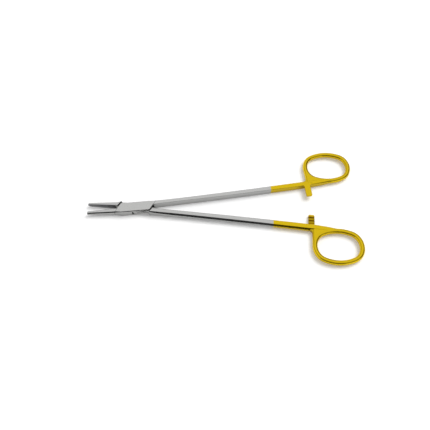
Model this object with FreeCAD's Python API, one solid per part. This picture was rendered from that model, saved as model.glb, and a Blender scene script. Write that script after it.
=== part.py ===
import FreeCAD, Part
import math
import os
from FreeCAD import Vector

# Ring-handled needle holder with a box lock, lying flat.
# The pivot axis is Z and the underside of the lock is Z = 0. The jaws point to -X, the rings to +X.
# Each arm is drawn closed, about its own mid-plane, with its shank on +Y and its jaw on -Y.
# The tongue arm is the same blank rolled half a turn about X, so the two ratchet bars face each other.
# Lengths are in millimetres and angles in degrees.

# Box lock
LOCK_HEIGHT = 5.3
LOCK_WIDTH = 7.4
LOCK_EDGE = 0.35
LOCK_EDGE_HEIGHT = 0.52
PLATE_THICKNESS = 1.35
TONGUE_CLEARANCE = 0.05
TONGUE_EDGE = 0.45
SHOULDER_NEAR = 9.3
SHOULDER_FAR = 12.0
SHOULDER_GAP = 0.45
SLOT_CLEARANCE = 0.15
PIN_DIAMETER = 3.2
PIN_CLEARANCE = 0.05
FULL_TRAVEL = 60.0
REST_OPENING = 9.6

# Jaws and their inserts
JAW_LENGTH = 32.6
JAW_TIP_WIDTH = 1.7
JAW_ROOT_WIDTH = 3.15
JAW_TIP_HEIGHT = 2.8
JAW_ROOT_HEIGHT = 4.5
JAW_FACET_WIDTH = 0.6
JAW_FACET_HEIGHT = 0.8
JAW_ROOT = 12.8
INSERT_HEEL = 13.5
INSERT_THICKNESS = 0.9
GRIP_GAP = 0.1
JAW_RELIEF = 0.4
SERRATION_PITCH = 0.75
SERRATION_DEPTH = 0.25

# Shanks
SHANK_START = 17.0
SHANK_START_WIDTH = 3.3
SHANK_MIDDLE_WIDTH = 3.8
SHANK_END_WIDTH = 4.0
SHANK_START_HEIGHT = 4.9
SHANK_MIDDLE_HEIGHT = 4.3
SHANK_END_HEIGHT = 3.8
SHANK_START_OFFSET = 2.4
SHANK_BOW = 0.4
SHANK_FACET_WIDTH = 1.0
SHANK_FACET_HEIGHT = 1.3
SHANK_EDGE_WIDTH = 0.3
SHANK_EDGE_HEIGHT = 0.2

# Ratchet bars
RATCHET_DISTANCE = 117.0
RATCHET_WIDTH = 4.0
RATCHET_THICKNESS = 1.88
RATCHET_OVERLAP = 3.1
RATCHET_CLEARANCE = 0.14
RATCHET_ROOT_RADIUS = 1.2
TOOTH_COUNT = 3
TOOTH_PITCH = 2.4
TOOTH_DEPTH = 0.8
TOOTH_LEAD = 1.8

# Finger rings
RING_HOLE_LENGTH = 26.3
RING_HOLE_WIDTH = 19.4
RING_STOCK_WIDTH = 3.3
RING_STOCK_HEIGHT = 3.6
RING_CORNER_RADIUS = 8.8
RING_TILT = -3.9
RING_INNER_OFFSET = 7.2
WEB_RECESS = 0.12
NOTCH_RADIUS = 1.4

half_lock = LOCK_WIDTH / 2
half_height = LOCK_HEIGHT / 2
half_slot = half_height - PLATE_THICKNESS
pin_radius = PIN_DIAMETER / 2
ring_a = (RING_HOLE_LENGTH + RING_STOCK_WIDTH) / 2
ring_b = (RING_HOLE_WIDTH + RING_STOCK_WIDTH) / 2
ring_x = RATCHET_DISTANCE + RING_STOCK_WIDTH / 2 + ring_a
ring_y = RING_INNER_OFFSET + RING_STOCK_WIDTH / 2 + ring_b


def prism(points, low, high):
    """Straight extrusion along Z of the polygon with these (x, y) corners."""
    corners = [Vector(x, y, low) for x, y in points]
    face = Part.Face(Part.makePolygon(corners + corners[:1]))
    return face.extrude(Vector(0, 0, high - low))


def box_between(x0, x1, y0, y1, z0, z1):
    """Box from its two extreme corners."""
    return Part.makeBox(x1 - x0, y1 - y0, z1 - z0, Vector(x0, y0, z0))


def section(x, inner, outer, half, inner_cut, outer_cut):
    """Eight-sided section at x: flat inner wall, flat top and bottom, cut corners (width, height)."""
    side = 1 if outer > inner else -1
    iw, ih = side * inner_cut[0], inner_cut[1]
    ow, oh = side * outer_cut[0], outer_cut[1]
    corners = [(inner, ih - half), (inner, half - ih), (inner + iw, half), (outer - ow, half),
               (outer, half - oh), (outer, oh - half), (outer - ow, -half), (inner + iw, -half)]
    points = [Vector(x, y, z) for y, z in corners]
    return Part.makePolygon(points + points[:1])


def blend(t, start, middle, end):
    """Value of the parabola through start, middle and end at t = 0, 1/2 and 1."""
    return start * (1 - t) * (1 - 2 * t) + 4 * middle * t * (1 - t) + end * t * (2 * t - 1)


def shank_centre(x):
    """Distance of the shank's centre line from the instrument's middle, slightly bowed inwards."""
    t = (x - SHANK_START) / (ring_x - SHANK_START)
    end = RING_INNER_OFFSET + RING_STOCK_WIDTH / 2
    return SHANK_START_OFFSET + t * (end - SHANK_START_OFFSET) - SHANK_BOW * math.sin(math.pi * t)


def shank_width(x):
    """Width of the shank in plan, up to the ratchet."""
    t = (x - SHANK_START) / (RATCHET_DISTANCE - SHANK_START)
    return blend(t, SHANK_START_WIDTH, SHANK_MIDDLE_WIDTH, SHANK_END_WIDTH)


def shank_height(x):
    """Thickness of the shank, up to the ratchet."""
    t = (x - SHANK_START) / (RATCHET_DISTANCE - SHANK_START)
    return blend(t, SHANK_START_HEIGHT, SHANK_MIDDLE_HEIGHT, SHANK_END_HEIGHT)


def make_shank():
    """Shank lofted from the lock's own section to the near side of the finger ring."""
    edge = (LOCK_EDGE, LOCK_EDGE_HEIGHT)
    inner = (SHANK_EDGE_WIDTH, SHANK_EDGE_HEIGHT)
    begin = (0.65 * SHANK_FACET_WIDTH, 0.65 * SHANK_FACET_HEIGHT)
    wires = [section(SHOULDER_NEAR - 1, 0, half_lock, half_height, edge, edge),
             section(SHOULDER_FAR - 0.5, JAW_RELIEF - 0.1, half_lock + 0.05, half_height - 0.02, inner, begin)]
    steps = 5
    for i in range(steps + 1):
        t = i / steps
        x = SHANK_START + t * (RATCHET_DISTANCE - SHANK_START)
        centre, half = shank_centre(x), shank_width(x) / 2
        grow = min(1.0, 0.8 + t)
        facet = (grow * SHANK_FACET_WIDTH, grow * SHANK_FACET_HEIGHT)
        wires.append(section(x, centre - half, centre + half, shank_height(x) / 2, inner, facet))
    # the last section lies just inside the round stock of the ring
    wide, tall = 0.46 * RING_STOCK_WIDTH, 0.46 * RING_STOCK_HEIGHT
    wires.append(section(ring_x, shank_centre(ring_x) - wide, shank_centre(ring_x) + wide, tall,
                         (0.59 * wide, 0.59 * tall), (0.59 * wide, 0.59 * tall)))
    head = Part.makeLoft(wires[:3], True, True)
    return head.fuse(Part.makeLoft(wires[2:], True, False))


def make_jaw():
    """Jaw lofted from the lock to the rounded tip, its back rounded and its gripping side flat."""
    face = -GRIP_GAP / 2
    edge = (LOCK_EDGE, LOCK_EDGE_HEIGHT)
    small = (0.15, 0.15)
    wires = [section(-(SHOULDER_NEAR - 1), 0, -half_lock, half_height, edge, edge),
             section(-(SHOULDER_NEAR + 0.5), face, -half_lock + 0.05, half_height - 0.02, small, edge)]
    reach = JAW_LENGTH + 0.5
    for i in range(4):
        t = i / 3
        x = JAW_ROOT + t * (reach - JAW_ROOT)
        width = blend(t, JAW_ROOT_WIDTH, (JAW_ROOT_WIDTH + JAW_TIP_WIDTH) / 2 + 0.05, JAW_TIP_WIDTH)
        height = blend(t, JAW_ROOT_HEIGHT, (JAW_ROOT_HEIGHT + JAW_TIP_HEIGHT) / 2, JAW_TIP_HEIGHT)
        back = (JAW_FACET_WIDTH, JAW_FACET_HEIGHT)
        wires.append(section(-x, face, -width, height / 2, small, back))
    head = Part.makeLoft(wires[:3], True, True)
    body = head.fuse(Part.makeLoft(wires[2:], True, False))
    relief = box_between(-INSERT_HEEL, -(SHOULDER_NEAR + 0.5), -JAW_RELIEF, 2, -half_height - 1, half_height + 1)
    return body.common(tip_form()).cut(relief)


def tip_form():
    """Envelope that rounds the jaw's tip: a semicircle seen from the side, a corner arc in plan."""
    r = JAW_TIP_HEIGHT / 2
    c = -(JAW_LENGTH - r)
    flare = half_height + 1.0
    lean = math.atan2(flare - r, c * -1 - SHOULDER_NEAR)
    touch = [Vector(c - r * math.sin(lean), 0, r * math.cos(lean)), Vector(-JAW_LENGTH, 0, 0),
             Vector(c - r * math.sin(lean), 0, -r * math.cos(lean))]
    near = [Vector(-SHOULDER_NEAR + 2, 0, -flare - 0.2), Vector(-SHOULDER_NEAR + 2, 0, flare + 0.2)]
    side = Part.Wire([Part.Arc(*touch).toShape(), Part.makeLine(touch[2], near[0]),
                      Part.makeLine(near[0], near[1]), Part.makeLine(near[1], touch[0])])
    side = Part.Face(side).extrude(Vector(0, 3 * half_lock, 0))
    side.translate(Vector(0, -2 * half_lock, 0))
    k = 0.5 * JAW_TIP_WIDTH
    low = Vector(-JAW_LENGTH, k - JAW_TIP_WIDTH, 0)
    back = Vector(-JAW_LENGTH + k, -JAW_TIP_WIDTH - 0.04, 0)
    bend = Vector(-JAW_LENGTH + 0.28 * k, -JAW_TIP_WIDTH + 0.28 * k, 0)
    rest = [Vector(-SHOULDER_NEAR + 2, -2 * half_lock, 0), Vector(-SHOULDER_NEAR + 2, half_lock, 0),
            Vector(-JAW_LENGTH, half_lock, 0)]
    plan = Part.Wire([Part.Arc(low, bend, back).toShape(), Part.makeLine(back, rest[0]),
                      Part.makeLine(rest[0], rest[1]), Part.makeLine(rest[1], rest[2]),
                      Part.makeLine(rest[2], low)])
    plan = Part.Face(plan).extrude(Vector(0, 0, 4 * half_height))
    plan.translate(Vector(0, 0, -2 * half_height))
    return side.common(plan)


def insert_space():
    """Seat of the insert: a slab behind the gripping face, from the tip back to the heel."""
    return box_between(-JAW_LENGTH - 1, -INSERT_HEEL, -GRIP_GAP / 2 - INSERT_THICKNESS, 1,
                       -half_height - 1, half_height + 1)


def serration(turn):
    """Half space under a zigzag of V grooves that run at this angle across the gripping face."""
    reach = (JAW_LENGTH - INSERT_HEEL + JAW_ROOT_HEIGHT) / 2 + 1
    count = math.ceil(reach * math.cos(math.radians(turn)) / SERRATION_PITCH) + 1
    top = -GRIP_GAP / 2
    ridge = []
    for i in range(-count, count + 1):
        ridge.append(Vector((i - 0.5) * SERRATION_PITCH, top - SERRATION_DEPTH, -reach))
        ridge.append(Vector(i * SERRATION_PITCH, top, -reach))
    ridge.append(Vector((count + 0.5) * SERRATION_PITCH, top - SERRATION_DEPTH, -reach))
    deep = top - 3 * INSERT_THICKNESS
    ridge += [Vector(ridge[-1].x, deep, -reach), Vector(ridge[0].x, deep, -reach)]
    body = Part.Face(Part.makePolygon(ridge + ridge[:1])).extrude(Vector(0, 0, 2 * reach))
    body.rotate(Vector(0, 0, 0), Vector(0, 1, 0), turn)
    body.translate(Vector(-(JAW_LENGTH + INSERT_HEEL) / 2, 0, 0))
    return body


def make_insert(jaw):
    """Insert ground flush with its jaw, its face cross-cut into small pyramids."""
    blank = jaw.common(insert_space())
    return blank.common(serration(45)).common(serration(-45))


def oval(a, b, corner):
    """Eight tangent arcs round an oval of half axes a and b: long arcs at ends and sides, tight corners.

    An arc of radius r whose normal turns from u to v moves r (cos u - cos v) along X and
    r (sin v - sin u) along Y, so the end and side radii follow from the two half axes.
    """
    u, v, half_turn = math.radians(25), math.radians(65), math.pi
    p, q = a - corner * (math.cos(u) - math.cos(v)), b - corner * (math.sin(v) - math.sin(u))
    m = (1 - math.cos(u)) * (1 - math.sin(v)) - math.cos(v) * math.sin(u)
    end = (p * (1 - math.sin(v)) - q * math.cos(v)) / m
    side = (q * (1 - math.cos(u)) - p * math.sin(u)) / m
    x, y = a - end + (end - corner) * math.cos(u), (end - corner) * math.sin(u)
    arcs = []
    for cx, cy, r, start, stop in ((a - end, 0, end, -u, u), (x, y, corner, u, v),
                                   (0, b - side, side, v, half_turn - v),
                                   (-x, y, corner, half_turn - v, half_turn - u),
                                   (end - a, 0, end, half_turn - u, half_turn + u),
                                   (-x, -y, corner, half_turn + u, half_turn + v),
                                   (0, side - b, side, half_turn + v, -v), (x, -y, corner, -v, -u)):
        stop += 2 * half_turn if stop < start else 0
        points = [Vector(cx + r * math.cos(t), cy + r * math.sin(t), 0)
                  for t in (start, (start + stop) / 2, stop)]
        arcs.append(Part.Arc(*points).toShape())
    return Part.Wire(arcs)


def stock(centre, normal):
    """Rounded section of the ring's stock."""
    ellipse = Part.Ellipse(Vector(0, 0, 0), RING_STOCK_HEIGHT / 2, RING_STOCK_WIDTH / 2)
    wire = Part.Wire([ellipse.toShape()])
    # stand the long axis up, then face the section along the path
    wire.rotate(Vector(0, 0, 0), Vector(0, 1, 0), -90)
    wire.rotate(Vector(0, 0, 0), Vector(0, 0, 1), math.degrees(math.atan2(normal.y, normal.x)))
    wire.translate(centre)
    return wire


def make_ring():
    """Oval finger ring, swept along its centre line, with the web that joins it to the shank."""
    path = oval(ring_a, ring_b, RING_CORNER_RADIUS)
    first = path.OrderedEdges[0]
    ring = path.makePipeShell([stock(first.valueAt(first.FirstParameter),
                                     first.tangentAt(first.FirstParameter))], True, False)
    ring.rotate(Vector(0, 0, 0), Vector(0, 0, 1), RING_TILT)
    ring.translate(Vector(ring_x, ring_y, 0))
    flat = RING_STOCK_HEIGHT / 2 - WEB_RECESS
    left = RATCHET_DISTANCE + RING_STOCK_WIDTH / 2
    foot = shank_centre(left)
    edge = [Vector(left, ring_y, flat), Vector(RATCHET_DISTANCE + WEB_RECESS, ring_y, 0),
            Vector(left, ring_y, -flat)]
    edge = Part.Wire([Part.Arc(*edge).toShape(), Part.makeLine(edge[2], edge[0])])
    drop = Part.Face(edge).extrude(Vector(0, foot - ring_y, 0))
    middle = Part.Face(path)
    middle.rotate(Vector(0, 0, 0), Vector(0, 0, 1), RING_TILT)
    middle.translate(Vector(ring_x, ring_y, -3 * flat))
    hole = middle.extrude(Vector(0, 0, 6 * flat))
    web = prism([(left, ring_y), (left, foot), (ring_x, shank_centre(ring_x)), (ring_x, ring_y)],
                -flat, flat).cut(hole)
    return ring.fuse([drop, web, notch_fill()])


def notch_fill():
    """Concave corner between the ring's near side and the shank's back."""
    r = NOTCH_RADIUS
    x = RATCHET_DISTANCE + 0.25
    y = shank_centre(x) + shank_width(RATCHET_DISTANCE) / 2 - 0.1
    high = RING_STOCK_HEIGHT * 0.32
    corner = [Vector(x - r, y, -high), Vector(x - 0.293 * r, y + 0.293 * r, -high), Vector(x, y + r, -high)]
    deep = [Vector(x + 1, y + r, -high), Vector(x + 1, y - 1, -high), Vector(x - r, y - 1, -high)]
    edges = [Part.Arc(*corner).toShape()]
    chain = [corner[2]] + deep + [corner[0]]
    edges += [Part.makeLine(a, b) for a, b in zip(chain, chain[1:])]
    return Part.Face(Part.Wire(edges)).extrude(Vector(0, 0, 2 * high))


def make_ratchet():
    """Ratchet bar above the mid-plane with saw teeth below, steep towards the shank."""
    low = RATCHET_CLEARANCE / 2
    high = low + RATCHET_THICKNESS
    root = shank_centre(RATCHET_DISTANCE)
    tip = -RATCHET_OVERLAP
    profile = [(tip, high), (tip, low + TOOTH_DEPTH)]
    crest = tip + TOOTH_LEAD
    for i in range(TOOTH_COUNT):
        profile += [(crest, low), (crest, low + TOOTH_DEPTH)]
        crest += TOOTH_PITCH
    profile += [(root, low + TOOTH_DEPTH), (root, high)]
    x0 = RATCHET_DISTANCE - RATCHET_WIDTH / 2 - RATCHET_ROOT_RADIUS
    span = RATCHET_WIDTH + 2 * RATCHET_ROOT_RADIUS
    points = [Vector(x0, y, z) for y, z in profile]
    bar = Part.Face(Part.makePolygon(points + points[:1])).extrude(Vector(span, 0, 0))
    return bar.common(ratchet_plan(high))


def ratchet_plan(high):
    """Plan of the bar: parallel sides, rounded free end, concave roots at the shank."""
    half, r = RATCHET_WIDTH / 2, RATCHET_ROOT_RADIUS
    wall = shank_centre(RATCHET_DISTANCE) - SHANK_END_WIDTH / 2 + 0.1
    deep = wall + SHANK_END_WIDTH / 2
    tip, round_end = -RATCHET_OVERLAP, 0.25 * RATCHET_WIDTH
    x, bend, s = RATCHET_DISTANCE, 0.293 * r, 0.293 * round_end

    def at(dx, y):
        return Vector(x + dx, y, -1)

    edges = []
    for side in (1, -1):
        edges.append(Part.Arc(at(side * (half - round_end), tip), at(side * (half - s), tip + s),
                              at(side * half, tip + round_end)).toShape())
        edges.append(Part.makeLine(at(side * half, tip + round_end), at(side * half, wall - r)))
        edges.append(Part.Arc(at(side * half, wall - r), at(side * (half + bend), wall - bend),
                              at(side * (half + r), wall)).toShape())
        edges.append(Part.makeLine(at(side * (half + r), wall), at(side * (half + r), deep)))
    edges.append(Part.makeLine(at(half - round_end, tip), at(round_end - half, tip)))
    edges.append(Part.makeLine(at(half + r, deep), at(-half - r, deep)))
    wire = Part.Wire(Part.__sortEdges__(edges))
    return Part.Face(wire).extrude(Vector(0, 0, high + 2))


def make_handle():
    """Shank, ratchet bar and finger ring in one."""
    return make_shank().fuse([make_ring(), make_ratchet()])


def reflect(points):
    """The same points turned half a turn about the pivot."""
    return [(-x, -y) for x, y in points]


def pin_hole(radius):
    """Round hole through the whole lock on the pivot axis."""
    return Part.makeCylinder(radius, 2 * LOCK_HEIGHT, Vector(0, 0, -LOCK_HEIGHT))


def tangent_angle(x, y):
    """Direction, in radians, in which the line from (x, y) touches the tongue's disc from below."""
    return math.atan2(y, x) % (2 * math.pi) + math.acos(half_lock / math.hypot(x, y))


def tongue_root():
    """Corner where the tongue's slanted edge meets its jaw, in the tongue arm's closed place."""
    return -(SHOULDER_FAR + SHOULDER_GAP), -JAW_RELIEF - 0.1


def lock_block():
    """Solid lock of the box arm between its slanted shoulders, with eased long edges."""
    front = [(-SHOULDER_FAR, -JAW_RELIEF), (-SHOULDER_NEAR, half_lock)]
    plan = prism(front + [(SHOULDER_NEAR, half_lock)] + reflect(front) + [(-SHOULDER_NEAR, -half_lock)],
                 -half_height, half_height)
    edge = (LOCK_EDGE, LOCK_EDGE_HEIGHT)
    ends = [section(x, -half_lock, half_lock, half_height, edge, edge) for x in (-SHOULDER_FAR, SHOULDER_FAR)]
    return plan.common(Part.makeLoft(ends, True, True))


def slot():
    """Space for the tongue, open at both sides and both shoulders, its walls stopping the travel."""
    d = half_lock + SLOT_CLEARANCE
    closed = tangent_angle(*tongue_root())
    stopped = math.radians(270 - FULL_TRAVEL)

    def wall_y(angle, x):
        return (d - x * math.cos(angle)) / math.sin(angle)

    def wall_x(angle, y):
        return (d - y * math.sin(angle)) / math.cos(angle)

    # corner between the closing wall and the opening stop
    turn = (closed + stopped) / 2
    spread = d / math.cos((closed - stopped) / 2)
    corner = (spread * math.cos(turn), spread * math.sin(turn))
    far = SHOULDER_FAR + 1.2
    wide = half_lock + 1
    wall = [(-far, wall_y(closed, -far)), corner, (wall_x(stopped, -wide), -wide), (far, -wide)]
    return prism(wall + reflect(wall), -half_slot, half_slot)


def make_tongue():
    """Flat tongue: a disc round the pin with two necks that end in the arm's shoulders."""
    r = half_lock
    thick = half_slot - TONGUE_CLEARANCE
    root = tongue_root()
    angle = tangent_angle(*root)
    touch = (r * math.cos(angle), r * math.sin(angle))
    middle = ((angle + 1.5 * math.pi) / 2)
    bend = (r * math.cos(middle), r * math.sin(middle))
    reach = SHOULDER_NEAR + SHOULDER_GAP
    # the necks run into their arm as far as midway between the shoulder and the insert's heel
    deep = (SHOULDER_FAR + SHOULDER_GAP + INSERT_HEEL) / 2

    def at(point):
        return Vector(point[0], point[1], -thick)

    edges = []
    side = [(-deep, -root[1]), root, touch, bend, (0, -r), (reach + 0.3, -r), (deep, 1.2 * root[1])]
    for chain in (side, reflect(side)):
        edges.append(Part.makeLine(at(chain[0]), at(chain[1])))
        edges.append(Part.makeLine(at(chain[1]), at(chain[2])))
        edges.append(Part.Arc(at(chain[2]), at(chain[3]), at(chain[4])).toShape())
        edges.append(Part.makeLine(at(chain[4]), at(chain[5])))
        edges.append(Part.makeLine(at(chain[5]), at(chain[6])))
    edges.append(Part.makeLine(at(side[-1]), at(reflect(side)[0])))
    edges.append(Part.makeLine(at(reflect(side)[-1]), at(side[0])))
    wire = Part.Wire(Part.__sortEdges__(edges))
    tongue = Part.Face(wire).extrude(Vector(0, 0, 2 * thick))
    return tongue.cut([tongue_ease(r, thick, reach, sy, sz) for sy in (-1, 1) for sz in (-1, 1)])


def tongue_ease(r, thick, reach, side, face):
    """Wedge that eases one long outer edge of a neck, from beside the disc to the shoulder."""
    out, high = side * (r + 0.1), face * (thick + 0.1)
    corners = [(out, high), (out, face * (thick - TONGUE_EDGE)), (side * r, face * (thick - TONGUE_EDGE)),
               (side * (r - TONGUE_EDGE), face * thick), (side * (r - TONGUE_EDGE), high)]
    x0 = 1.5 if side < 0 else -(reach + 0.3)
    points = [Vector(x0, y, z) for y, z in corners]
    return Part.Face(Part.makePolygon(points + points[:1])).extrude(Vector(reach - 1.2, 0, 0))


def shoulder_cut():
    """Room for the box arm: everything between the tongue arm's own two shoulders."""
    front = [(-(SHOULDER_FAR + SHOULDER_GAP), -JAW_RELIEF), (-(SHOULDER_NEAR + SHOULDER_GAP), half_lock)]
    slope = (front[1][0] - front[0][0]) / (front[1][1] - front[0][1])
    rise = 1.5
    line = [(front[0][0] - slope * rise, front[0][1] - rise), (front[1][0] + slope * rise, front[1][1] + rise)]
    return prism(line + reflect(line), -LOCK_HEIGHT, LOCK_HEIGHT)


def make_box_arm(handle, jaw):
    """Box arm: lower jaw, box of the lock, far shank, upper ratchet bar and ring."""
    body = lock_block().fuse([handle, jaw.cut(insert_space())])
    return body.cut(slot()).cut(pin_hole(pin_radius))


def roll(shape):
    """Copy turned half a turn about X, which swaps the two sides and the two faces."""
    shape = shape.copy()
    shape.rotate(Vector(0, 0, 0), Vector(1, 0, 0), 180)
    return shape


def make_tongue_arm(handle, jaw):
    """Tongue arm: upper jaw, tongue of the lock, near shank, lower ratchet bar and ring."""
    ends = roll(handle.fuse(jaw.cut(insert_space()))).cut(shoulder_cut())
    return ends.fuse(make_tongue()).cut(pin_hole(pin_radius + PIN_CLEARANCE))


def make_pin():
    """Pivot rivet, ground flush with both plates of the box."""
    return Part.makeCylinder(pin_radius, LOCK_HEIGHT, Vector(0, 0, -half_height))


def set_down(shape, turn):
    """Turn an arm's piece from the closed place to the rest place and lift it onto Z = 0."""
    shape.rotate(Vector(0, 0, 0), Vector(0, 0, 1), turn)
    shape.translate(Vector(0, 0, half_height))
    return shape


def main():
    os.makedirs("parts", exist_ok=True)
    half_opening = REST_OPENING / 2
    handle, jaw = make_handle(), make_jaw()
    insert = make_insert(jaw)
    pieces = {
        "box_arm": set_down(make_box_arm(handle, jaw), half_opening),
        "tongue_arm": set_down(make_tongue_arm(handle, jaw), -half_opening),
        "pivot_pin": set_down(make_pin(), half_opening),
        "tongue_arm_insert": set_down(roll(insert), -half_opening),
        "box_arm_insert": set_down(insert, half_opening),
    }
    for name, shape in pieces.items():
        shape.exportStep("parts/" + name + ".step")
        box = shape.BoundBox
        print(name, "valid", shape.isValid(), "solids", len(shape.Solids), "faces", len(shape.Faces),
              "volume", round(shape.Volume, 2), "box", [round(v, 2) for v in
              (box.XMin, box.XMax, box.YMin, box.YMax, box.ZMin, box.ZMax)])


main()
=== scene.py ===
import math

import bpy
import numpy as np
from bpy.props import FloatProperty, FloatVectorProperty, PointerProperty
from bpy.types import Operator, Panel, PropertyGroup
from mathutils import Matrix, Vector

bl_info = {
    "name": "Needle Holder Finish",
    "version": (1, 0, 0),
    "blender": (4, 5, 0),
    "location": "View3D > Sidebar > Needle Holder",
    "description": "Finishes the needle holder's steel, plating and inserts, and lights it on a "
                   "pale floor",
    "category": "Object",
}

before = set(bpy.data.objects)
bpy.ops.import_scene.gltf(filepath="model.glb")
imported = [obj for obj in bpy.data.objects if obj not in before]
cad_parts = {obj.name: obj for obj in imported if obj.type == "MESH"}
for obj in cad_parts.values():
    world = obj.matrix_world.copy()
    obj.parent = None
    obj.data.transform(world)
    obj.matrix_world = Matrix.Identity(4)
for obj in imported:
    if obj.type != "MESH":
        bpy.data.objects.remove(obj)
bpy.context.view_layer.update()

# Half of the angle by which the two arms stand open at rest.
HALF_OPENING = math.radians(4.8)
ARM_TURN = {"box_arm": HALF_OPENING, "tongue_arm": -HALF_OPENING}

# Slanted shoulders of the lock, drawn closed: their normal, and their distance from the pivot.
# The shoulders also place the painted shade in the lock's gaps.
SHOULDER_NORMAL = (-0.8352, 0.5500, 0.0)
SHOULDER_DISTANCE = {"box_arm": 0.00980, "tongue_arm": 0.01018}

# Grinding scratches: their fineness, their stretch along the part, and their relief.
SCRATCH_SCALE = 9000.0
SCRATCH_STRETCH = (0.025, 1.0, 1.0)
SCRATCH_STRENGTH = 0.02
SCRATCH_DEPTH = 0.0001

# Soft clouds of dullness: their fineness, and how far they swing the roughness.
CLOUD_SCALE = 220.0
CLOUD_SWING = 0.10

# Heights of the surface's normal below which a side is upright and takes the painted side shade in
# full, and above which it is a flat.
UPRIGHT_BELOW, FLAT_ABOVE = 0.15, 0.55

# Widths over which the plating and the dark grip set in.
PLATING_BLUR = 0.0002
GRIP_BLUR = 0.00005

# How many times finer the inserts' edges are than the arms', and how finely edges are rounded.
INSERT_FINENESS = 6
EDGE_SAMPLES = 12

# Floor: the part's middle along X, half the floor's side, how far it lies under the part, and the
# distances from the pivot between which its lift grows.
MIDDLE = 0.055
FLOOR_HALF = 1.5
FLOOR_DROP = 0.00002
LIFT_NEAR, LIFT_FAR = 0.35, 1.4

# Dark screens: their distance from the part, the share of their top angle from which they thin
# out, their colour, and how many points they have along and up.
SCREEN_RADIUS = 1.4
SCREEN_THIN = 0.8
SCREEN_COLOUR = (0.02, 0.02, 0.02, 1)
SCREEN_POINTS = (33, 9)

# Sky: cosines from its bright middle where it is darkest and palest, and how softly the walls end.
SKY_DARKEST, SKY_PALEST = 0.38, 0.97
WALL_BLUR = 0.04

# Lamp and camera: the point the lamp faces, the sensor's width in mm, and the camera's limits.
LAMP_AIM = (0.06, 0.0, 0.0)
SENSOR_WIDTH = 36.0
CLIP_NEAR, CLIP_FAR = 0.01, 20.0


class NeedleHolderFinish(PropertyGroup):
    """Colours and sizes of the finishes."""

    steel_colour: FloatVectorProperty(
        name="Steel", description="Colour of the satin steel",
        subtype="COLOR", size=3, min=0, max=1, default=(0.60, 0.60, 0.59))
    steel_roughness: FloatProperty(
        name="Steel roughness", description="Roughness of the satin steel",
        min=0, max=1, default=0.17)
    gold_colour: FloatVectorProperty(
        name="Plating", description="Colour of the gold-plated handles",
        subtype="COLOR", size=3, min=0, max=1, default=(0.81, 0.565, 0.013))
    gold_roughness: FloatProperty(
        name="Plating roughness", description="Roughness of the gold plating",
        min=0, max=1, default=0.20)
    plating_start: FloatProperty(
        name="Plating start", description="Distance from the pivot to the plating's edge",
        unit="LENGTH", default=0.092)
    hard_metal_colour: FloatVectorProperty(
        name="Hard metal", description="Colour of the jaw inserts",
        subtype="COLOR", size=3, min=0, max=1, default=(0.60, 0.60, 0.60))
    hard_metal_roughness: FloatProperty(
        name="Hard metal roughness", description="Roughness of the jaw inserts",
        min=0, max=1, default=0.30)
    # Painted shade: the dark colour down in the grip's grooves and on the gripping face.
    grip_shade_colour: FloatVectorProperty(
        name="Grip", description="Colour down in the inserts' cross-cut grip",
        subtype="COLOR", size=3, min=0, max=1, default=(0.26, 0.26, 0.265))
    grip_dullness: FloatProperty(
        name="Grip dullness", description="How much rougher the grip is than the bare insert",
        min=0, max=1, default=0.20)
    grip_depth: FloatProperty(
        name="Grip depth", description="How far the dark grip reaches from the mid-plane",
        unit="LENGTH", default=0.00036)
    # Painted shade: a dark colour in the gaps at the lock's shoulders, where shade falls between
    # the arms.
    shoulder_gap_shade: FloatVectorProperty(
        name="Shoulders", description="Colour of the lock's shadowed shoulders",
        subtype="COLOR", size=3, min=0, max=1, default=(0.05, 0.05, 0.05))
    # Painted shade: how far the dark colour of the shoulders' gaps reaches to each side.
    shoulder_gap_shade_reach: FloatProperty(
        name="Shoulder edge", description="How far the dark shoulder reaches to each side",
        unit="LENGTH", default=0.00008)
    # Painted shade: how dark the narrow upright sides are painted next to the flats.
    painted_side_shade: FloatProperty(
        name="Side tone", description="Brightness of the shaded narrow sides next to the flats",
        min=0, max=1, default=0.62)
    edge_radius: FloatProperty(
        name="Edge radius", description="How far the ground edges are rounded",
        unit="LENGTH", default=0.0001)
    plated_edge: FloatProperty(
        name="Plated edge", description="How far the edges under the plating are rounded",
        unit="LENGTH", default=0.00032)


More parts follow.
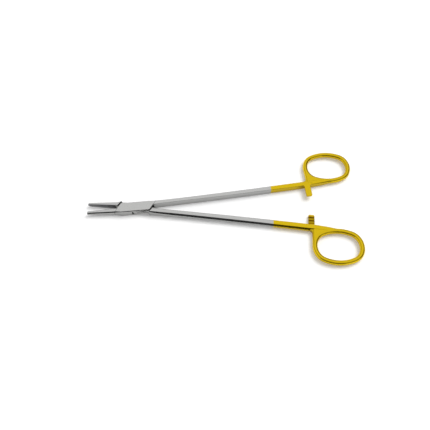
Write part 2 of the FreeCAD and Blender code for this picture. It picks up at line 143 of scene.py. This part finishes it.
class NeedleHolderStage(PropertyGroup):
    """Camera, floor and lights."""

    floor_colour: FloatVectorProperty(
        name="Floor", description="Colour of the floor",
        subtype="COLOR", size=3, min=0, max=1, default=(0.90, 0.90, 0.90))
    floor_lift: FloatProperty(
        name="Floor lift", description="Light added to the floor as camera and metal see it",
        min=0, max=1, default=0.14)
    far_lift: FloatProperty(
        name="Far lift", description="More light added to the floor far from the part",
        min=0, max=1, default=0.24)
    azimuth: FloatProperty(
        name="Azimuth", description="Direction the camera looks along, from +Y",
        subtype="ANGLE", default=math.radians(2.12))
    elevation: FloatProperty(
        name="Elevation", description="Height of the camera above the horizon",
        subtype="ANGLE", default=math.radians(58.0))
    roll: FloatProperty(
        name="Roll", description="Turn of the camera about its own axis",
        subtype="ANGLE", default=math.radians(-2.645))
    distance: FloatProperty(
        name="Distance", description="From the camera to the point it looks at",
        unit="LENGTH", default=0.319)
    focal: FloatProperty(
        name="Focal length", description="Lens on a sensor 36 mm wide",
        unit="CAMERA", default=39.93)
    aim: FloatVectorProperty(
        name="Aim", description="The point that the camera looks at",
        subtype="TRANSLATION", unit="LENGTH", size=3, default=(0.0532, -0.0046, 0.0))
    lamp_power: FloatProperty(
        name="Lamp", description="Power of the soft lamp above",
        unit="POWER", default=30.5)
    lamp_size: FloatProperty(
        name="Lamp size", description="Diameter of the soft lamp",
        unit="LENGTH", default=1.5)
    lamp_place: FloatVectorProperty(
        name="Lamp place", description="Where the soft lamp hangs",
        subtype="TRANSLATION", unit="LENGTH", size=3, default=(1.15, 0.55, 1.80))
    sky_level: FloatProperty(
        name="Sky", description="Strength of the broad soft light overhead",
        min=0, default=0.84)
    sky_dark: FloatProperty(
        name="Sky dark", description="Share of the sky's light left on its far side",
        min=0, max=1, default=0.36)
    sky_side: FloatVectorProperty(
        name="Sky side", description="Direction of the sky's bright middle",
        subtype="DIRECTION", size=3, default=(-0.05, 0.30, 1.0))
    wall_top: FloatProperty(
        name="Wall top", description="Angle above the horizon where the white walls end",
        subtype="ANGLE", default=math.radians(14.0))
    wall_level: FloatProperty(
        name="Wall", description="Brightness of the white walls",
        min=0, default=1.0)
    front_from: FloatProperty(
        name="Front screen from", description="Where the front screen starts, round from +X",
        subtype="ANGLE", default=math.radians(-140.0))
    front_to: FloatProperty(
        name="Front screen to", description="Where the front screen ends, round from +X",
        subtype="ANGLE", default=math.radians(-66.0))
    right_from: FloatProperty(
        name="Right screen from", description="Where the right screen starts, round from +X",
        subtype="ANGLE", default=math.radians(-20.0))
    right_to: FloatProperty(
        name="Right screen to", description="Where the right screen ends, round from +X",
        subtype="ANGLE", default=math.radians(68.0))
    screen_low: FloatProperty(
        name="Screen low", description="Angle above the horizon of the screens' lower edge",
        subtype="ANGLE", default=math.radians(1.0))
    screen_high: FloatProperty(
        name="Screen high", description="Angle above the horizon of the screens' upper edge",
        subtype="ANGLE", default=math.radians(31.0))


# Shader building

def add_node(tree, kind, place, **values):
    """New node of a kind at a place, with its settings and input values."""
    node = tree.nodes.new(kind)
    node.location = place
    for key, value in values.items():
        if hasattr(node, key):
            setattr(node, key, value)
        else:
            node.inputs[key.replace("_", " ")].default_value = value
    return node


def feed(tree, socket, value):
    """Links a socket to an input, or sets the input to a plain value."""
    if isinstance(value, bpy.types.NodeSocket):
        tree.links.new(value, socket)
    else:
        socket.default_value = value


def maths(tree, operation, a, b, place, clamp=False):
    """Result of a Math node on two values or sockets."""
    node = add_node(tree, "ShaderNodeMath", place, operation=operation, use_clamp=clamp)
    feed(tree, node.inputs[0], a)
    feed(tree, node.inputs[1], b)
    return node.outputs[0]


def raised(tree, base, mask, rise, place):
    """A base value or socket, with a rise added to it where the mask is 1."""
    share = maths(tree, "MULTIPLY", mask, rise, place)
    return maths(tree, "ADD", share, base, (place[0] + 150, place[1]))


def mixed(tree, mask, first, second, place):
    """A first colour or socket where the mask is 0, and a second where it is 1."""
    node = add_node(tree, "ShaderNodeMix", place, data_type="RGBA")
    # a colour mix has its colours in places 6 and 7, and its result in place 2
    feed(tree, node.inputs[0], mask)
    feed(tree, node.inputs[6], first)
    feed(tree, node.inputs[7], second)
    return node.outputs[2]


def grinding_group():
    """Fine scratches along the part and soft clouds of dullness, as a height and a shade.

    Height is fine noise stretched forty to one along X. Shade is broad noise.
    """
    tree = bpy.data.node_groups.new("ground_metal", "ShaderNodeTree")
    for name, kind in (("Vector", "NodeSocketVector"), ("Scale", "NodeSocketFloat")):
        tree.interface.new_socket(name, in_out="INPUT", socket_type=kind)
    for name in ("Height", "Shade"):
        tree.interface.new_socket(name, in_out="OUTPUT", socket_type="NodeSocketFloat")
    given = add_node(tree, "NodeGroupInput", (-800, 0))
    result = add_node(tree, "NodeGroupOutput", (-200, 0))
    stretch = add_node(tree, "ShaderNodeVectorMath", (-600, 100), operation="MULTIPLY")
    stretch.inputs[1].default_value = SCRATCH_STRETCH
    tree.links.new(given.outputs["Vector"], stretch.inputs[0])
    lines = add_node(tree, "ShaderNodeTexNoise", (-400, 100), Detail=3.0, Roughness=0.6)
    tree.links.new(stretch.outputs[0], lines.inputs["Vector"])
    tree.links.new(given.outputs["Scale"], lines.inputs["Scale"])
    cloud = add_node(tree, "ShaderNodeTexNoise", (-400, -200),
                     Scale=CLOUD_SCALE, Detail=4.0, Roughness=0.55)
    tree.links.new(given.outputs["Vector"], cloud.inputs["Vector"])
    tree.links.new(lines.outputs["Fac"], result.inputs["Height"])
    tree.links.new(cloud.outputs["Fac"], result.inputs["Shade"])
    return tree


def metal(name, turn, colour, rough, edge=0.0):
    """Metal with a ground grain that runs along its arm, and its edges rounded in the shading.

    Returns the material, its tree, its shader, the place along the arm, and the roughness.
    """
    material = bpy.data.materials.new(name)
    material.use_nodes = True
    tree = material.node_tree
    shader = tree.nodes["Principled BSDF"]
    shader.inputs["Metallic"].default_value = 1.0
    shader.inputs["Base Color"].default_value = (*colour, 1)
    place = add_node(tree, "ShaderNodeTexCoord", (-1300, 0))
    along = add_node(tree, "ShaderNodeMapping", (-1100, 0), Rotation=(0, 0, -turn))
    tree.links.new(place.outputs["Object"], along.inputs["Vector"])
    group = bpy.data.node_groups.get("ground_metal") or grinding_group()
    ground = add_node(tree, "ShaderNodeGroup", (-850, 0), node_tree=group, Scale=SCRATCH_SCALE)
    tree.links.new(along.outputs["Vector"], ground.inputs["Vector"])
    swing = maths(tree, "SUBTRACT", ground.outputs["Shade"], 0.5, (-600, -100))
    swing = maths(tree, "MULTIPLY", swing, CLOUD_SWING, (-450, -100))
    roughness = maths(tree, "ADD", swing, rough, (-300, -100), clamp=True)
    tree.links.new(roughness, shader.inputs["Roughness"])
    bump = add_node(tree, "ShaderNodeBump", (-300, -350),
                    Strength=SCRATCH_STRENGTH, Distance=SCRATCH_DEPTH)
    tree.links.new(ground.outputs["Height"], bump.inputs["Height"])
    tree.links.new(bump.outputs["Normal"], shader.inputs["Normal"])
    if edge:
        bevel = add_node(tree, "ShaderNodeBevel", (-550, -450), samples=EDGE_SAMPLES, Radius=edge)
        tree.links.new(bevel.outputs["Normal"], bump.inputs["Normal"])
    return material, tree, shader, along.outputs["Vector"], roughness


def plating_mask(tree, along, start):
    """1 from the plating's edge to the ring, 0 from there to the jaw."""
    split = add_node(tree, "ShaderNodeSeparateXYZ", (-850, 300))
    tree.links.new(along, split.inputs[0])
    past = maths(tree, "SUBTRACT", split.outputs["X"], start, (-650, 300))
    return maths(tree, "MULTIPLY", past, 1 / PLATING_BLUR, (-500, 300), clamp=True)


def gap_shade_mask(tree, along, distance, reach):
    """1 within a reach of the lock's shoulders, slanted planes at one distance from the pivot,
    where the gaps' shade is painted.
    """
    across = add_node(tree, "ShaderNodeVectorMath", (-850, 500), operation="DOT_PRODUCT")
    across.inputs[1].default_value = SHOULDER_NORMAL
    tree.links.new(along, across.inputs[0])
    off = maths(tree, "ABSOLUTE", across.outputs["Value"], 0.0, (-650, 500))
    off = maths(tree, "SUBTRACT", off, distance, (-500, 500))
    off = maths(tree, "ABSOLUTE", off, 0.0, (-400, 500))
    return maths(tree, "LESS_THAN", off, reach, (-300, 500))


def grip_mask(tree, along, depth):
    """1 from the arm's mid-plane to a depth on each side of it, 0 beyond."""
    split = add_node(tree, "ShaderNodeSeparateXYZ", (-850, 300))
    tree.links.new(along, split.inputs[0])
    off = maths(tree, "ABSOLUTE", split.outputs["Y"], 0.0, (-650, 300))
    within = maths(tree, "SUBTRACT", depth, off, (-500, 300))
    return maths(tree, "MULTIPLY", within, 1 / GRIP_BLUR, (-400, 300), clamp=True)


def side_shade(tree, tone, colour):
    """Painted shade: colour times a tone on the upright sides, where the surface's normal has
    almost no height.
    """
    facing = add_node(tree, "ShaderNodeNewGeometry", (-600, 650))
    split = add_node(tree, "ShaderNodeSeparateXYZ", (-450, 650))
    tree.links.new(facing.outputs["True Normal"], split.inputs[0])
    height = maths(tree, "ABSOLUTE", split.outputs["Z"], 0.0, (-300, 650))
    level = add_node(tree, "ShaderNodeMapRange", (-150, 650), interpolation_type="SMOOTHSTEP",
                     From_Min=UPRIGHT_BELOW, From_Max=FLAT_ABOVE, To_Min=tone, To_Max=1.0)
    tree.links.new(height, level.inputs["Value"])
    scaled = add_node(tree, "ShaderNodeVectorMath", (0, 400), operation="SCALE")
    tree.links.new(colour, scaled.inputs[0])
    tree.links.new(level.outputs["Result"], scaled.inputs["Scale"])
    return scaled.outputs[0]


def arm_material(name, turn, finish, shoulder):
    """Satin steel from the jaw to the plating's edge, gold from there on, with painted shade in the
    gaps at the shoulders and on the upright sides.
    """
    material, tree, shader, along, roughness = metal(
        name, turn, finish.steel_colour, finish.steel_roughness, edge=finish.edge_radius)
    plated = plating_mask(tree, along, finish.plating_start)
    colour = mixed(tree, plated, (*finish.steel_colour, 1), (*finish.gold_colour, 1), (-300, 300))
    # Painted shade: the gaps at the shoulders are coloured dark.
    gap_shade = gap_shade_mask(tree, along, shoulder, finish.shoulder_gap_shade_reach)
    colour = mixed(tree, gap_shade, colour, (*finish.shoulder_gap_shade, 1), (-150, 400))
    # Painted shade: the upright sides are darkened.
    tree.links.new(side_shade(tree, finish.painted_side_shade, colour), shader.inputs["Base Color"])
    radius = raised(tree, finish.edge_radius, plated,
                    finish.plated_edge - finish.edge_radius, (-850, -500))
    tree.links.new(radius, tree.nodes["Bevel"].inputs["Radius"])
    roughness = raised(tree, roughness, plated,
                       finish.gold_roughness - finish.steel_roughness, (-300, 100))
    tree.links.new(roughness, shader.inputs["Roughness"])
    return material


def insert_material(name, turn, finish):
    """Hard metal, duller in the grooves and on the gripping face at the mid-plane, where its dark
    colour is painted shade.
    """
    material, tree, shader, along, roughness = metal(
        name, turn, finish.hard_metal_colour, finish.hard_metal_roughness,
        edge=finish.edge_radius / INSERT_FINENESS)
    grip = grip_mask(tree, along, finish.grip_depth)
    # Painted shade: the grip is coloured dark.
    colour = mixed(tree, grip, (*finish.hard_metal_colour, 1), (*finish.grip_shade_colour, 1),
                   (-250, 300))
    tree.links.new(colour, shader.inputs["Base Color"])
    roughness = raised(tree, roughness, grip, finish.grip_dullness, (-250, 100))
    tree.links.new(roughness, shader.inputs["Roughness"])
    return material


def dress(node, material):
    """Gives a CAD node this one material."""
    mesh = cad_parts[node].data
    mesh.materials.clear()
    mesh.materials.append(material)


class NEEDLE_OT_finish_arms(Operator):
    """Give both arms their satin steel and plated handles"""
    bl_idname = "needle.finish_arms"
    bl_label = "Finish Arms"

    def execute(self, context):
        finish = context.scene.needle_finish
        for arm, turn in ARM_TURN.items():
            dress(arm, arm_material(arm + "_finish", turn, finish, SHOULDER_DISTANCE[arm]))
        return {"FINISHED"}


class NEEDLE_OT_finish_inserts(Operator):
    """Give the jaw inserts their hard metal and dark grip"""
    bl_idname = "needle.finish_inserts"
    bl_label = "Finish Inserts"

    def execute(self, context):
        finish = context.scene.needle_finish
        for arm, turn in ARM_TURN.items():
            dress(arm + "_insert", insert_material(arm + "_hard_metal", turn, finish))
        return {"FINISHED"}


class NEEDLE_OT_finish_pin(Operator):
    """Give the pivot rivet its ground steel"""
    bl_idname = "needle.finish_pin"
    bl_label = "Finish Pin"

    def execute(self, context):
        finish = context.scene.needle_finish
        steel = metal("pin_finish", HALF_OPENING, finish.steel_colour, finish.steel_roughness)[0]
        dress("pivot_pin", steel)
        return {"FINISHED"}


# Stage

def empty_tree(owner):
    """Empty node tree of a new material or world."""
    owner.use_nodes = True
    owner.node_tree.nodes.clear()
    return owner.node_tree


def grid_mesh(name, points, material):
    """Mesh of a grid of points, an array of rows x columns x 3."""
    rows, columns = points.shape[:2]
    index = np.arange(rows * columns).reshape(rows, columns)
    corners = [index[:-1, :-1], index[1:, :-1], index[1:, 1:], index[:-1, 1:]]
    mesh = bpy.data.meshes.new(name)
    mesh.from_pydata(points.reshape(-1, 3), [], np.stack(corners, axis=-1).reshape(-1, 4))
    mesh.materials.append(material)
    piece = bpy.data.objects.new(name, mesh)
    bpy.context.collection.objects.link(piece)
    return piece


def floor_material(stage):
    """Pale floor that keeps the shadow, lifted a little so that it reads white.

    Only the camera and the metal's reflections see the lift. It grows with the distance from the
    pivot, so that the floor's far edge is as white as the walls.
    """
    material = bpy.data.materials.new("pale_floor")
    tree = empty_tree(material)
    body = add_node(tree, "ShaderNodeBsdfDiffuse", (0, 100), Color=(*stage.floor_colour, 1))
    glow = add_node(tree, "ShaderNodeEmission", (0, -100), Color=(1, 1, 1, 1))
    path = add_node(tree, "ShaderNodeLightPath", (-800, -100)).outputs
    seen = maths(tree, "ADD", path["Is Camera Ray"], path["Is Glossy Ray"], (-600, -100),
                 clamp=True)
    seen = maths(tree, "ADD", seen, path["Is Transmission Ray"], (-400, -100), clamp=True)
    place = add_node(tree, "ShaderNodeTexCoord", (-1000, -400))
    away = add_node(tree, "ShaderNodeVectorMath", (-800, -400), operation="LENGTH")
    tree.links.new(place.outputs["Object"], away.inputs[0])
    lift = add_node(tree, "ShaderNodeMapRange", (-600, -400), interpolation_type="SMOOTHSTEP",
                    From_Min=LIFT_NEAR, From_Max=LIFT_FAR,
                    To_Min=stage.floor_lift, To_Max=stage.floor_lift + stage.far_lift)
    tree.links.new(away.outputs["Value"], lift.inputs["Value"])
    strength = maths(tree, "MULTIPLY", seen, lift.outputs["Result"], (-200, -100))
    tree.links.new(strength, glow.inputs["Strength"])
    both = add_node(tree, "ShaderNodeAddShader", (200, 0))
    tree.links.new(body.outputs[0], both.inputs[0])
    tree.links.new(glow.outputs[0], both.inputs[1])
    out = add_node(tree, "ShaderNodeOutputMaterial", (400, 0))
    tree.links.new(both.outputs[0], out.inputs["Surface"])
    return material


def screen_material(stage):
    """Dark cloth that thins out towards the screens' tops."""
    material = bpy.data.materials.new("dark_screen")
    tree = empty_tree(material)
    place = add_node(tree, "ShaderNodeTexCoord", (-800, 0))
    split = add_node(tree, "ShaderNodeSeparateXYZ", (-600, 0))
    tree.links.new(place.outputs["Object"], split.inputs[0])
    thin = add_node(tree, "ShaderNodeMapRange", (-400, 0), interpolation_type="SMOOTHSTEP",
                    From_Min=SCREEN_RADIUS * math.tan(stage.screen_high * SCREEN_THIN),
                    From_Max=SCREEN_RADIUS * math.tan(stage.screen_high))
    tree.links.new(split.outputs["Z"], thin.inputs["Value"])
    weave = add_node(tree, "ShaderNodeBsdfDiffuse", (-200, 100), Color=SCREEN_COLOUR)
    clear = add_node(tree, "ShaderNodeBsdfTransparent", (-200, -100))
    blend = add_node(tree, "ShaderNodeMixShader", (0, 0))
    tree.links.new(thin.outputs["Result"], blend.inputs[0])
    tree.links.new(weave.outputs[0], blend.inputs[1])
    tree.links.new(clear.outputs[0], blend.inputs[2])
    out = add_node(tree, "ShaderNodeOutputMaterial", (200, 0))
    tree.links.new(blend.outputs[0], out.inputs["Surface"])
    return material


def pale_floor(stage):
    """Square floor just under the part, four points at one height."""
    side = np.linspace(-FLOOR_HALF, FLOOR_HALF, 2)
    x, y = np.meshgrid(side + MIDDLE, side, indexing="ij")
    points = np.stack([x, y, np.full_like(x, -FLOOR_DROP)], axis=-1)
    floor = grid_mesh("floor", points, floor_material(stage))


def dark_screens(stage):
    """Dark screens to the front and right of the studio, which give the metal its dark lines.

    Each is a strip of a cylinder about the part: a point is the radius times the cosine and sine
    of its direction, at a height of the radius times the tangent of its angle above the horizon.
    """
    material = screen_material(stage)
    along, up = SCREEN_POINTS
    for name, start, stop in (("front_screen", stage.front_from, stage.front_to),
                              ("right_screen", stage.right_from, stage.right_to)):
        direction, height = np.meshgrid(np.linspace(start, stop, along),
                                        np.linspace(stage.screen_low, stage.screen_high, up),
                                        indexing="ij")
        points = np.stack([SCREEN_RADIUS * np.cos(direction) + MIDDLE,
                           SCREEN_RADIUS * np.sin(direction),
                           SCREEN_RADIUS * np.tan(height)], axis=-1)
        screen = grid_mesh(name, points, material)
        screen.visible_camera = screen.visible_diffuse = screen.visible_shadow = False


def soft_lamp(stage):
    """Broad round lamp that faces the part and gives its soft shadow."""
    lamp = bpy.data.lights.new("soft_lamp", "AREA")
    lamp.shape, lamp.size, lamp.energy = "DISK", stage.lamp_size, stage.lamp_power
    holder = bpy.data.objects.new("soft_lamp", lamp)
    holder.visible_glossy = False
    holder.location = stage.lamp_place
    aim = Vector(LAMP_AIM) - holder.location
    holder.rotation_euler = aim.to_track_quat("-Z", "Y").to_euler()
    bpy.context.collection.objects.link(holder)


def studio_world(stage):
    """Soft sky, pale overhead, dimmer lower down, and pale again where the white walls stand.

    The sky's shade eases from dark to pale with the cosine of the angle from its bright middle.
    The walls' shade falls off with the height above the horizon. The brighter of the two shows.
    """
    world = bpy.data.worlds.new("studio")
    bpy.context.scene.world = world
    tree = empty_tree(world)
    place = add_node(tree, "ShaderNodeTexCoord", (-1100, 0))
    toward = add_node(tree, "ShaderNodeVectorMath", (-900, 0), operation="DOT_PRODUCT")
    tree.links.new(place.outputs["Generated"], toward.inputs[0])
    toward.inputs[1].default_value = Vector(stage.sky_side).normalized()
    ramp = add_node(tree, "ShaderNodeValToRGB", (-600, 0))
    ramp.color_ramp.interpolation = "EASE"
    darkest, palest = ramp.color_ramp.elements
    darkest.position, darkest.color = SKY_DARKEST, (stage.sky_dark,) * 3 + (1,)
    palest.position, palest.color = SKY_PALEST, (1, 1, 1, 1)
    tree.links.new(toward.outputs["Value"], ramp.inputs["Fac"])
    height = add_node(tree, "ShaderNodeSeparateXYZ", (-900, -300))
    tree.links.new(place.outputs["Generated"], height.inputs[0])
    top = math.sin(stage.wall_top)
    wall = add_node(tree, "ShaderNodeMapRange", (-600, -300), interpolation_type="SMOOTHSTEP",
                    From_Min=top - WALL_BLUR, From_Max=top + WALL_BLUR,
                    To_Min=stage.wall_level / stage.sky_level, To_Max=0.0)
    tree.links.new(height.outputs["Z"], wall.inputs["Value"])
    shade = maths(tree, "MAXIMUM", ramp.outputs["Color"], wall.outputs["Result"], (-300, -100))
    sky = add_node(tree, "ShaderNodeBackground", (-100, 0), Strength=stage.sky_level)
    tree.links.new(shade, sky.inputs["Color"])
    out = add_node(tree, "ShaderNodeOutputWorld", (100, 0))
    tree.links.new(sky.outputs[0], out.inputs["Surface"])


def photo_camera(stage):
    """Camera at the photograph's angle: it looks at the aim from a distance, then rolls."""
    azimuth, elevation, roll = stage.azimuth, stage.elevation, stage.roll
    back = Vector((math.sin(azimuth) * math.cos(elevation),
                   -math.cos(azimuth) * math.cos(elevation), math.sin(elevation)))
    level = Vector((math.cos(azimuth), math.sin(azimuth), 0))
    up = back.cross(level)
    across = math.cos(roll) * level + math.sin(roll) * up
    upright = -math.sin(roll) * level + math.cos(roll) * up
    data = bpy.data.cameras.new("camera")
    data.lens, data.sensor_width = stage.focal, SENSOR_WIDTH
    data.clip_start, data.clip_end = CLIP_NEAR, CLIP_FAR
    camera = bpy.data.objects.new("camera", data)
    axes = Matrix((across, upright, back)).transposed().to_4x4()
    camera.matrix_world = Matrix.Translation(Vector(stage.aim) + back * stage.distance) @ axes
    bpy.context.collection.objects.link(camera)
    bpy.context.scene.camera = camera


class NEEDLE_OT_build_stage(Operator):
    """Lay the pale floor, stand the dark screens, hang the soft lamp and place the camera"""
    bl_idname = "needle.build_stage"
    bl_label = "Build Stage"

    def execute(self, context):
        stage = context.scene.needle_stage
        pale_floor(stage)
        dark_screens(stage)
        soft_lamp(stage)
        studio_world(stage)
        photo_camera(stage)
        context.scene.view_settings.view_transform = "Standard"
        return {"FINISHED"}


class NEEDLE_PT_panel(Panel):
    """Lists the steps that dress the needle holder"""
    bl_label = "Needle Holder"
    bl_idname = "NEEDLE_PT_panel"
    bl_space_type = "VIEW_3D"
    bl_region_type = "UI"
    bl_category = "Needle Holder"

    def draw(self, context):
        for step in STEPS:
            self.layout.operator(step.bl_idname)
        for settings in (context.scene.needle_finish, context.scene.needle_stage):
            for name in settings.__annotations__:
                self.layout.prop(settings, name)


STEPS = (NEEDLE_OT_finish_arms, NEEDLE_OT_finish_inserts, NEEDLE_OT_finish_pin,
         NEEDLE_OT_build_stage)
CLASSES = (NeedleHolderFinish, NeedleHolderStage, *STEPS, NEEDLE_PT_panel)


def register():
    for item in CLASSES:
        bpy.utils.register_class(item)
    bpy.types.Scene.needle_finish = PointerProperty(type=NeedleHolderFinish)
    bpy.types.Scene.needle_stage = PointerProperty(type=NeedleHolderStage)


def unregister():
    del bpy.types.Scene.needle_stage
    del bpy.types.Scene.needle_finish
    for item in reversed(CLASSES):
        bpy.utils.unregister_class(item)


def main():
    register()
    bpy.ops.needle.finish_arms()
    bpy.ops.needle.finish_inserts()
    bpy.ops.needle.finish_pin()
    bpy.ops.needle.build_stage()


if __name__ == "__main__":
    main()
